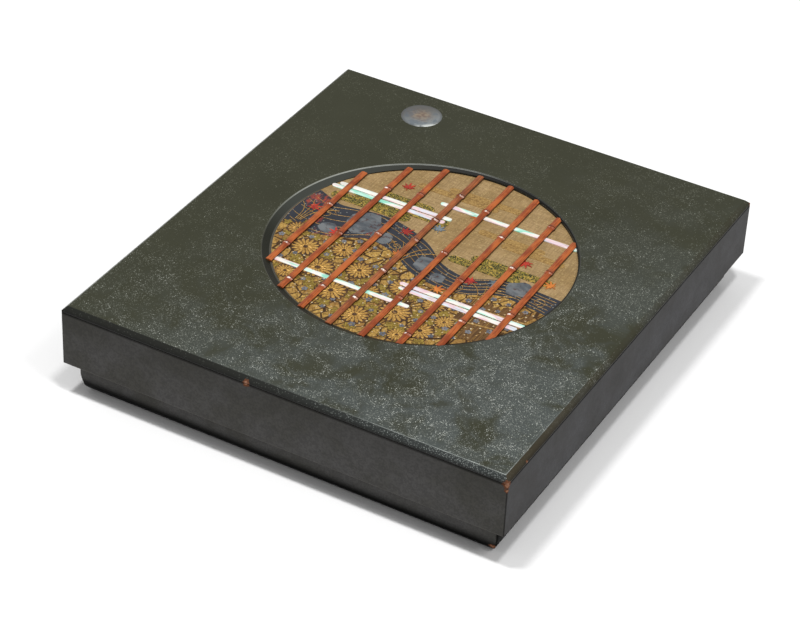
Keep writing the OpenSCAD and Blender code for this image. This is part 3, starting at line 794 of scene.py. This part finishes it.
def pulled_in(points):
    """The outline with any point past the window's edge pulled in to it."""
    kept = []
    for x, y in points:
        away = math.hypot(x - WINDOW_X, y - WINDOW_Y)
        pull = min(1, WINDOW_R / away) if away else 1
        kept.append((WINDOW_X + (x - WINDOW_X) * pull, WINDOW_Y + (y - WINDOW_Y) * pull))
    return kept


def smooth_path(knots, per_span):
    """Points along a curve that passes through the knots; each knot may hold several numbers."""
    def between(t, a, b, c, d):
        return 0.5 * (2 * b + (c - a) * t + (2 * a - 5 * b + 4 * c - d) * t ** 2
                      + (3 * b - a - 3 * c + d) * t ** 3)

    points = []
    last = len(knots) - 1
    for i in range(last):
        four = [knots[max(0, min(last, i + k))] for k in (-1, 0, 1, 2)]
        for step in range(per_span):
            points.append(tuple(between(step / per_span, *numbers) for numbers in zip(*four)))
    return points + [tuple(knots[-1])]


def beside(path, share):
    """A line that runs along a path of (x, y, half width), share of the half width to its left."""
    line = []
    for i, (x, y, half) in enumerate(path):
        before, after = path[max(0, i - 1)], path[min(len(path) - 1, i + 1)]
        dx, dy = after[0] - before[0], after[1] - before[1]
        length = math.hypot(dx, dy)
        line.append((x - dy / length * half * share, y + dx / length * half * share))
    return line


def turned(points, at, turn, size):
    """An outline of unit size turned, scaled and moved into place."""
    c, s = math.cos(turn), math.sin(turn)
    return [(at[0] + size * (x * c - y * s), at[1] + size * (x * s + y * c)) for x, y in points]


def own_turn(x, y):
    """A turn that differs from place to place."""
    return (x * 0.7 + y * 1.3) % (2 * math.pi)


def polar(radius, degrees):
    return (radius * math.cos(math.radians(degrees)), radius * math.sin(math.radians(degrees)))


def lobed_outline(lobes, waist, neck, tip):
    """Leaf with pointed lobes of (degrees, length) and a short stem. Tip is half the angle of a lobe."""
    points = []
    for i, (lobe, length) in enumerate(lobes):
        points += [polar(neck * length, lobe - tip), polar(length, lobe), polar(neck * length, lobe + tip)]
        if i + 1 < len(lobes):
            points.append(polar(waist, (lobe + lobes[i + 1][0]) / 2))
    return points + [polar(0.16, 165), polar(0.6, 177), polar(0.6, 183), polar(0.16, 195)]


MAPLE = lobed_outline([(-126, 0.5), (-84, 0.78), (-42, 0.95), (0, 1.05), (42, 0.95), (84, 0.78), (126, 0.5)],
                      waist=0.34, neck=0.62, tip=10)
FLOWER_LEAF = lobed_outline([(-110, 0.6), (-56, 0.8), (0, 1), (56, 0.8), (110, 0.6)],
                            waist=0.5, neck=0.86, tip=15)


def rock_outline(seed, corners=11):
    """Rough stone of unit size with blunt corners."""
    chance = random.Random(seed)
    return [polar(chance.uniform(0.78, 1.08), 360 * (i + chance.uniform(-0.2, 0.2)) / corners)
            for i in range(corners)]


def scallop_outline(petals, wave=0.05):
    """Round outline with one soft bulge for each petal."""
    count = petals * 6
    return [polar(1 + wave * math.cos(2 * math.pi * i * petals / count), 360 * i / count)
            for i in range(count)]


def band_outline(x0, x1, y, half, steps=8):
    """Long band with round ends."""
    ends = []
    for x, first in ((x1, -90), (x0, 90)):
        for i in range(steps + 1):
            across, along = polar(half, first + 180 * i / steps)
            ends.append((x + across, y + along))
    return ends


# Middle line of the stream and its half width
STREAM = smooth_path([(-76, 10, 15), (-52, 2, 14), (-27, 8, 10.5), (-7, 3, 9), (9, -8, 8), (28, -11, 6.5),
                      (46, -3, 6), (76, -5, 7)], 14)
# Eddies: place, size, lean
EDDIES = [((-52, 6), 4.2, 0.4), ((-12, 0), 3.6, 2), ((27, -13), 3.2, 3.6), ((63, -4), 3.4, 5)]
# Rocks: place, size, seed
ROCKS = [((-33, 8), 9.5, 2), ((-21, 2), 5.5, 5), ((-46, -4), 5, 7), ((6, -5), 6, 11), ((16, -12), 4, 13),
         ((51, 0), 6.5, 17)]
# Bands of mist: left end, right end, height, half width
OLIVE_MIST = [(-56, -20, 22, 2.9), (-47, -3, 28, 2.9), (-37, -14, 34, 2.9), (15, 46, 5.4, 2.6),
              (24, 60, 10.8, 2.6)]
GOLD_MIST = [(-26, 12, 50.5, 2), (-12, 24, 54.8, 2), (30, 58, 27, 2), (16, 46, 31.3, 2)]
# Chrysanthemums: place and radius
FLOWERS = [(-46, -23, 6.6), (-30, -16, 5.4), (-33, -34, 7.6), (-16, -26, 6.2), (-19, -46, 7.2),
           (-5, -38, 5.6), (-1, -56, 6.6), (7, -27, 6.4), (13, -45, 7.4), (25, -31, 5.6),
           (29, -51, 6.2), (-57, -12, 4.8), (22, -59, 4.6), (-44, -44, 4.8), (35, -40, 4.6)]
LEAVES_EACH = 4
GOLDEN_TURN = 2.39996
# Maple leaves: place, turn, size
RED_MAPLE = [((-60, 7), 0.5, 4.6), ((-40, -6), 2.1, 5), ((-14, 12), 0.9, 4.6), ((30, -6), 3.3, 4.8),
             ((44, 20), 5.2, 4.4), ((-31, 45), 1.7, 4.2)]
ORANGE_MAPLE = [((-8, -6), 1.2, 4.8), ((20, -20), 0.6, 4.6), ((62, 10), 2.8, 4.4), ((8, 41), 5.4, 4.4)]
BLUE_MAPLE = [((-22, 15), 3, 4.6), ((40, -1), 4.6, 4.6), ((-2, 22), 1.9, 4.4)]
# Tufts of grass: root, reach, number of blades
TUFTS = [((-62, -6), 24, 4), ((-9, -14), 26, 5), ((38, -22), 22, 4)]
# Board fence: first board's left side, board width, pitch, foot, height
FENCE_X, BOARD_W, BOARD_PITCH, FENCE_Y, FENCE_H = 36.5, 3.5, 3.8, -46, 28
BOARDS = 8


def shore(side):
    """The part of a shore of the stream that lies inside the window, from left to right."""
    return [(x, y) for x, y in beside(STREAM, side) if in_window(x, y)]


def rim_arc(start, end, steps):
    """Points along the window's edge, anticlockwise from near one point to near another."""
    first, last = (math.degrees(math.atan2(y - WINDOW_Y, x - WINDOW_X)) for x, y in (start, end))
    last = first + (last - first) % 360
    arc = (polar(WINDOW_R, first + (last - first) * i / steps) for i in range(steps + 1))
    return [(WINDOW_X + x, WINDOW_Y + y) for x, y in arc]


def stream_outline():
    near, far = shore(-1), shore(1)
    return near + rim_arc(near[-1], far[-1], 6) + far[::-1] + rim_arc(far[0], near[0], 10)


def bank_outline():
    """The ground between the stream and the near edge of the window."""
    near = shore(-1)
    return near[::-1] + rim_arc(near[0], near[-1], 60)


def fence_boards():
    """Boards side by side with tops cut to a low point, by turns long and short."""
    boards = []
    for i in range(BOARDS):
        left = FENCE_X + i * BOARD_PITCH
        right, top = left + BOARD_W, FENCE_Y + FENCE_H - (i % 2) * 1.6 + i * 0.5
        peak = ((left + right) / 2, top + 1.4)
        boards.append([(left, FENCE_Y), (right, FENCE_Y), (right, top), peak, (left, top)])
    return boards


def fence_rails():
    """Two rails across the boards."""
    left, right = FENCE_X - 1.2, FENCE_X + BOARDS * BOARD_PITCH + 1
    return [[(left, y), (right, y + 1.5), (right, y + 2.6), (left, y + 1.1)]
            for y in (FENCE_Y + 0.34 * FENCE_H, FENCE_Y + 0.78 * FENCE_H)]


def flow_lines():
    """Lines of the current, drawn apart and together, and a few eddies."""
    lines = []
    for k in range(-2, 3):
        sway = [1 + 0.14 * math.sin(i * 0.23 + 1.3 * k) for i in range(len(STREAM))]
        path = [(x, y, half * share) for (x, y, half), share in zip(STREAM, sway)]
        lines.append(beside(path, k * 0.38))
    for (x, y), size, lean in EDDIES:
        curl = ((size * (1 - t), lean + 11 * t) for t in (i / 36 for i in range(33)))
        lines.append([(x + radius * math.cos(turn), y + radius * math.sin(turn)) for radius, turn in curl])
    return lines


def grass_lines():
    """Tufts of long bent blades at the edge of the bank."""
    blades = []
    for (x, y), reach, count in TUFTS:
        for i in range(count):
            lean = 0.9 * (i / (count - 1) - 0.5)
            tall = reach * (1 - 0.3 * abs(lean))
            blades.append([(x + i * 0.9 + tall * (0.1 * t + lean * t ** 2.2), y + tall * (t - 0.22 * t ** 3))
                           for t in (k / 20 for k in range(21))])
    return blades


def bank_spots(spacing, clear, smallest, largest, seed):
    """Spots strewn over the bank, apart from each other by the spacing and clear of the flowers' middles."""
    chance = random.Random(seed)
    near = shore(-1)
    spots = []
    for _ in range(3000):
        x, y = chance.uniform(-68, 68), chance.uniform(-68, 10)
        edge = min(near, key=lambda point: abs(point[0] - x))[1]
        if y > edge - 2.5 or not in_window(x, y, 3):
            continue
        if any(math.hypot(x - a, y - b) < radius * clear for a, b, radius in FLOWERS):
            continue
        if all(math.hypot(x - a, y - b) > spacing for a, b, _ in spots):
            spots.append((x, y, chance.uniform(smallest, largest)))
    return spots


# -------------------- inlaid panel: meshes

LAYER, LAYERS = 0.005, 12    # height between overlapping plates, and how many steps there are


def on_panel(x, y, height):
    """A mesh's point, in metres, at a height above the panel."""
    return (x * MM, y * MM, (PANEL_Z + height) * MM)


def drawn_in(outline, amount):
    """The outline moved in by amount, where it runs anticlockwise."""
    moved = []
    for i, (x, y) in enumerate(outline):
        (ax, ay), (bx, by) = outline[i - 1], outline[(i + 1) % len(outline)]
        dx, dy = bx - ax, by - ay
        length = math.hypot(dx, dy) or 1
        moved.append((x - dy / length * amount, y + dx / length * amount))
    return moved


def plates(outlines, low, high, edge):
    """Thin closed plates from low to high above the panel, with eased top edges.

    Each plate is a hair higher than the one before, so that where two overlap, one lies on top.
    """
    bm = bmesh.new()
    for order, outline in enumerate(outlines):
        outline = pulled_in(outline)
        step = LAYER * (order % LAYERS)
        levels = ((outline, low), (outline, high - edge + step), (drawn_in(outline, edge), high + step))
        rings = [[bm.verts.new(on_panel(x, y, height)) for x, y in ring] for ring, height in levels]
        bm.faces.new(rings[0][::-1])
        bm.faces.new(rings[-1])
        for below, above in zip(rings, rings[1:]):
            for i in range(len(outline)):
                bm.faces.new((below[i - 1], below[i], above[i], above[i - 1]))
    mesh = bpy.data.meshes.new("plates")
    bm.to_mesh(mesh)
    bm.free()
    return mesh


def line_mesh(lines, height):
    """Bare edges along each line, for a tree that gives them thickness."""
    points, edges = [], []
    for line in lines:
        first = len(points)
        points += [on_panel(x, y, height) for x, y in line if in_window(x, y, 0.3)]
        edges += [(i, i + 1) for i in range(first, len(points) - 1)]
    mesh = bpy.data.meshes.new("lines")
    mesh.from_pydata(points, edges, [])
    return mesh


def spot_mesh(spots, height):
    """One point for each (x, y, size), with its size and a turn of its own."""
    mesh = bpy.data.meshes.new("spots")
    mesh.from_pydata([on_panel(x, y, height) for x, y, _ in spots], [], [])
    size = mesh.attributes.new("size", "FLOAT", "POINT")
    turn = mesh.attributes.new("turn", "FLOAT", "POINT")
    for i, (x, y, radius) in enumerate(spots):
        size.data[i].value = radius * MM
        turn.data[i].value = own_turn(x, y)
    return mesh


def piece(name, mesh, material, body="lid"):
    mesh.materials.clear()
    mesh.materials.append(material)
    made = in_scene(name, mesh)
    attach(made, body)
    return made


# -------------------- base: its rounded foot

def quarter(z, width, height):
    """How far a face stands in at height z, above a foot rounded to a quarter ellipse."""
    return width * (1 - math.sqrt(1 - (1 - z / height) ** 2)) if z < height else 0


def rounded_foot(node):
    """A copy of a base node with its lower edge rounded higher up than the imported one."""
    bm = bmesh.new()
    bm.from_mesh(NODES[node].data)
    bmesh.ops.remove_doubles(bm, verts=bm.verts, dist=0.001 * MM)
    for cut in (7, 8, 9, 10):
        bmesh.ops.bisect_plane(bm, geom=bm.verts[:] + bm.edges[:] + bm.faces[:],
                               plane_co=(0, 0, cut * MM), plane_no=(0, 0, 1))
    reach = PACKED_R + 0.01 if node == "base_floor" else OUTER_SKIN
    for vert in bm.verts:
        z = vert.co.z / MM
        inset = quarter(z, FOOT_W, FOOT_H) - quarter(z, PACKED_R, PACKED_R)
        for axis in (0, 1):
            if abs(vert.co[axis]) / MM > BASE_HIGH[axis] - reach:
                vert.co[axis] -= math.copysign(inset * MM, vert.co[axis])
    mesh = bpy.data.meshes.new(node)
    bm.to_mesh(mesh)
    bm.free()
    mesh.shade_smooth()
    mesh.set_sharp_from_angle(angle=math.radians(30))
    return mesh


def round_the_base():
    finish = NODES["base_floor"].data.materials[0]
    for node in ("base_floor", "base_front", "base_back", "base_left", "base_right"):
        made = piece(node + "_rounded", rounded_foot(node), finish, body="base")
        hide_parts(node)


round_the_base()

# -------------------- geometry node trees

class Growth(Tree):
    """A geometry node tree in the making, with named inputs for its sizes."""

    def __init__(self, name, **inputs):
        self.tree = bpy.data.node_groups.new(name, "GeometryNodeTree")
        sockets = {"Geometry": "Geometry", **inputs, "finish": "Material"}
        for label, kind in sockets.items():
            self.tree.interface.new_socket(label, in_out="INPUT", socket_type="NodeSocket" + kind)
        self.tree.interface.new_socket("Geometry", in_out="OUTPUT", socket_type="NodeSocketGeometry")
        self.given = self.node("NodeGroupInput").outputs

    def vector(self, x, y, z):
        return self.node("ShaderNodeCombineXYZ", {0: x, 1: y, 2: z}).outputs[0]

    def own(self, attribute):
        """A number that each point of the base mesh carries."""
        named = self.node("GeometryNodeInputNamedAttribute", {"Name": attribute}, data_type="FLOAT")
        return named.outputs["Attribute"]

    def ended(self, geometry):
        real = self.node("GeometryNodeRealizeInstances", {"Geometry": geometry}).outputs[0]
        painted = self.node("GeometryNodeSetMaterial", {"Geometry": real, "Material": self.given["finish"]})
        self.node("NodeGroupOutput", {0: painted.outputs[0]})
        return self


def grow(base, growth, finish, **values):
    """The mesh that a tree makes of a base mesh."""
    stem = in_scene("stem", base)
    modifier = stem.modifiers.new("growth", "NODES")
    modifier.node_group = growth.tree
    values["finish"] = finish
    for item in growth.tree.interface.items_tree:
        if item.name in values:
            modifier[item.identifier] = values[item.name]
    view = bpy.context.evaluated_depsgraph_get()
    mesh = bpy.data.meshes.new_from_object(stem.evaluated_get(view))
    stem.modifiers.clear()
    bpy.data.objects.remove(stem)
    return mesh


def petal_ring():
    """A ring of petals round each point. Sizes are shares of the flower's radius."""
    g = Growth("petal_ring", petals="Int", reach="Float", length="Float", width="Float", height="Float")
    bead = g.node("GeometryNodeMeshUVSphere", {"Segments": 8, "Rings": 5, "Radius": 0.5})
    size = g.vector(g.given["length"], g.given["width"], g.given["height"])
    petal = g.node("GeometryNodeTransform", {"Geometry": bead.outputs["Mesh"], "Scale": size})
    circle = g.node("GeometryNodeMeshCircle", {"Vertices": g.given["petals"], "Radius": g.given["reach"]})
    position = g.node("GeometryNodeInputPosition").outputs[0]
    outward = g.node("FunctionNodeAlignRotationToVector", {"Vector": position}, axis="X")
    ring = g.node("GeometryNodeInstanceOnPoints", {
        "Points": circle.outputs["Mesh"], "Instance": petal.outputs[0], "Rotation": outward.outputs[0]})
    flowers = g.node("GeometryNodeInstanceOnPoints", {
        "Points": g.given["Geometry"], "Instance": ring.outputs[0], "Scale": g.own("size"),
        "Rotation": g.vector(0, 0, g.own("turn"))})
    return g.ended(flowers.outputs[0])


def drawn_line():
    """A raised line along bare edges, thin at both ends."""
    g = Growth("drawn_line", thickness="Float")
    curve = g.node("GeometryNodeMeshToCurve", {"Mesh": g.given["Geometry"]})
    along = g.node("GeometryNodeSplineParameter").outputs["Factor"]
    half_turn = g.node("ShaderNodeMath", {0: along, 1: math.pi}, operation="MULTIPLY")
    arch = g.node("ShaderNodeMath", {0: half_turn.outputs[0]}, operation="SINE")
    swell = g.node("ShaderNodeMath", {0: arch.outputs[0], 1: 0.4}, operation="POWER")
    radius = g.node("GeometryNodeSetCurveRadius", {"Curve": curve.outputs[0], "Radius": swell.outputs[0]})
    profile = g.node("GeometryNodeCurvePrimitiveCircle", {"Resolution": 6, "Radius": g.given["thickness"]})
    solid = g.node("GeometryNodeCurveToMesh", {
        "Curve": radius.outputs[0], "Profile Curve": profile.outputs["Curve"], "Fill Caps": True})
    return g.ended(solid.outputs[0])


# -------------------- inlaid panel

def leaf_places():
    """Place, turn and size of the leaves round each flower."""
    places = []
    for i, (x, y, radius) in enumerate(FLOWERS):
        for k in range(LEAVES_EACH):
            turn = i * GOLDEN_TURN + k * 2 * math.pi / LEAVES_EACH
            away = radius * 1.2
            places.append(((x + away * math.cos(turn), y + away * math.sin(turn)), turn, radius * 0.66))
    return places


def make_panel():
    """Generic panel: a stream between misty ground and a bank of chrysanthemums, with maple leaves."""
    gold = raised_gold("flower_gold", 401, (222, 178, 96), (168, 122, 52), 0.05)
    leaf_gold = raised_gold("leaf_gold", 411, (176, 150, 66), (120, 96, 36), 0.05)
    line_gold = raised_gold("line_gold", 431, (206, 170, 104), (160, 118, 60), 0.02)
    mist_gold = raised_gold("mist_gold", 451, (196, 160, 96), (156, 120, 66), 0.04)
    umber = leaf_paint("umber_line", 437, (84, 56, 30), (58, 36, 20))
    blue_grey = leaf_paint("blue_grey", 441, (120, 122, 128), (84, 88, 98))
    cream = leaf_paint("cream_bead", 447, (232, 214, 176), (196, 166, 120))
    paint("window_panel", woven_ground())

    def inlay(name, outlines, low, high, edge, finish):
        piece(name, plates(outlines, low, high, edge), finish)

    rocks = [turned(rock_outline(seed), at, 0, size) for at, size, seed in ROCKS]
    inlay("panel_stream", [stream_outline()], 0, 0.08, 0.03, dark_water())
    inlay("panel_bank", [bank_outline()], 0, 0.16, 0.05, carved_bank())
    inlay("panel_rocks", rocks, 0, 0.28, 0.14, grey_silver())
    inlay("panel_mist", [band_outline(*band) for band in OLIVE_MIST], 0, 0.22, 0.06, speckled_gold())
    inlay("panel_gold_mist", [band_outline(*band) for band in GOLD_MIST], 0, 0.18, 0.06, mist_gold)
    inlay("panel_fence", fence_boards(), 0.1, 0.26, 0.06, brown_boards())
    inlay("panel_fence_rails", fence_rails(), 0.2, 0.34, 0.05, line_gold)

    line = drawn_line()
    for name, lines, height, thickness, finish in (("panel_current", flow_lines(), 0.08, 0.15, line_gold),
                                                   ("panel_grasses", grass_lines(), 0.16, 0.16, gold)):
        piece(name, grow(line_mesh(lines, height), line, finish, thickness=thickness * MM), finish)

    for name, more, low, high, finish in (("panel_leaf_edges", 0.5, 0.1, 0.2, umber),
                                          ("panel_leaves", 0, 0.12, 0.3, leaf_gold)):
        leaves = [turned(FLOWER_LEAF, at, turn, size + more) for at, turn, size in leaf_places()]
        inlay(name, leaves, low, high, 0.08, finish)

    petal = petal_ring()
    discs = [turned(scallop_outline(16), (x, y), own_turn(x, y), radius * 1.04) for x, y, radius in FLOWERS]
    inlay("flower_grounds", discs, 0.12, 0.26, 0.06, umber)
    flowers = spot_mesh(FLOWERS, 0.26)
    florets = spot_mesh(bank_spots(6.6, 0.95, 1.4, 2, 7), 0.36)
    beads = spot_mesh(bank_spots(2.4, 1, 0.4, 0.6, 11), 0.36)
    sizes = ("petals", "reach", "length", "width", "height")
    for name, spots, finish, *values in (
            ("flower_petals_outer", flowers, gold, 16, 0.68, 0.62, 0.225, 0.05),
            ("flower_petals_inner", flowers, gold, 12, 0.34, 0.4, 0.16, 0.08),
            ("flower_hearts", flowers, umber, 6, 0.08, 0.15, 0.14, 0.1),
            ("blue_florets", florets, blue_grey, 5, 0.5, 0.8, 0.7, 0.05),
            ("cream_beads", beads, cream, 3, 0.5, 0.9, 0.9, 0.2)):
        piece(name, grow(spots, petal, finish, **dict(zip(sizes, values))), finish)

    for name, leaves, light, dark in (("maple_red", RED_MAPLE, (196, 58, 40), (146, 38, 30)),
                                      ("maple_orange", ORANGE_MAPLE, (212, 128, 52), (170, 84, 34)),
                                      ("maple_blue", BLUE_MAPLE, (124, 138, 146), (92, 106, 116))):
        outlines = [turned(MAPLE, at, turn, size) for at, turn, size in leaves]
        inlay(name, outlines, 0.02, 0.34, 0.06, leaf_paint(name, 460, light, dark))


make_panel()
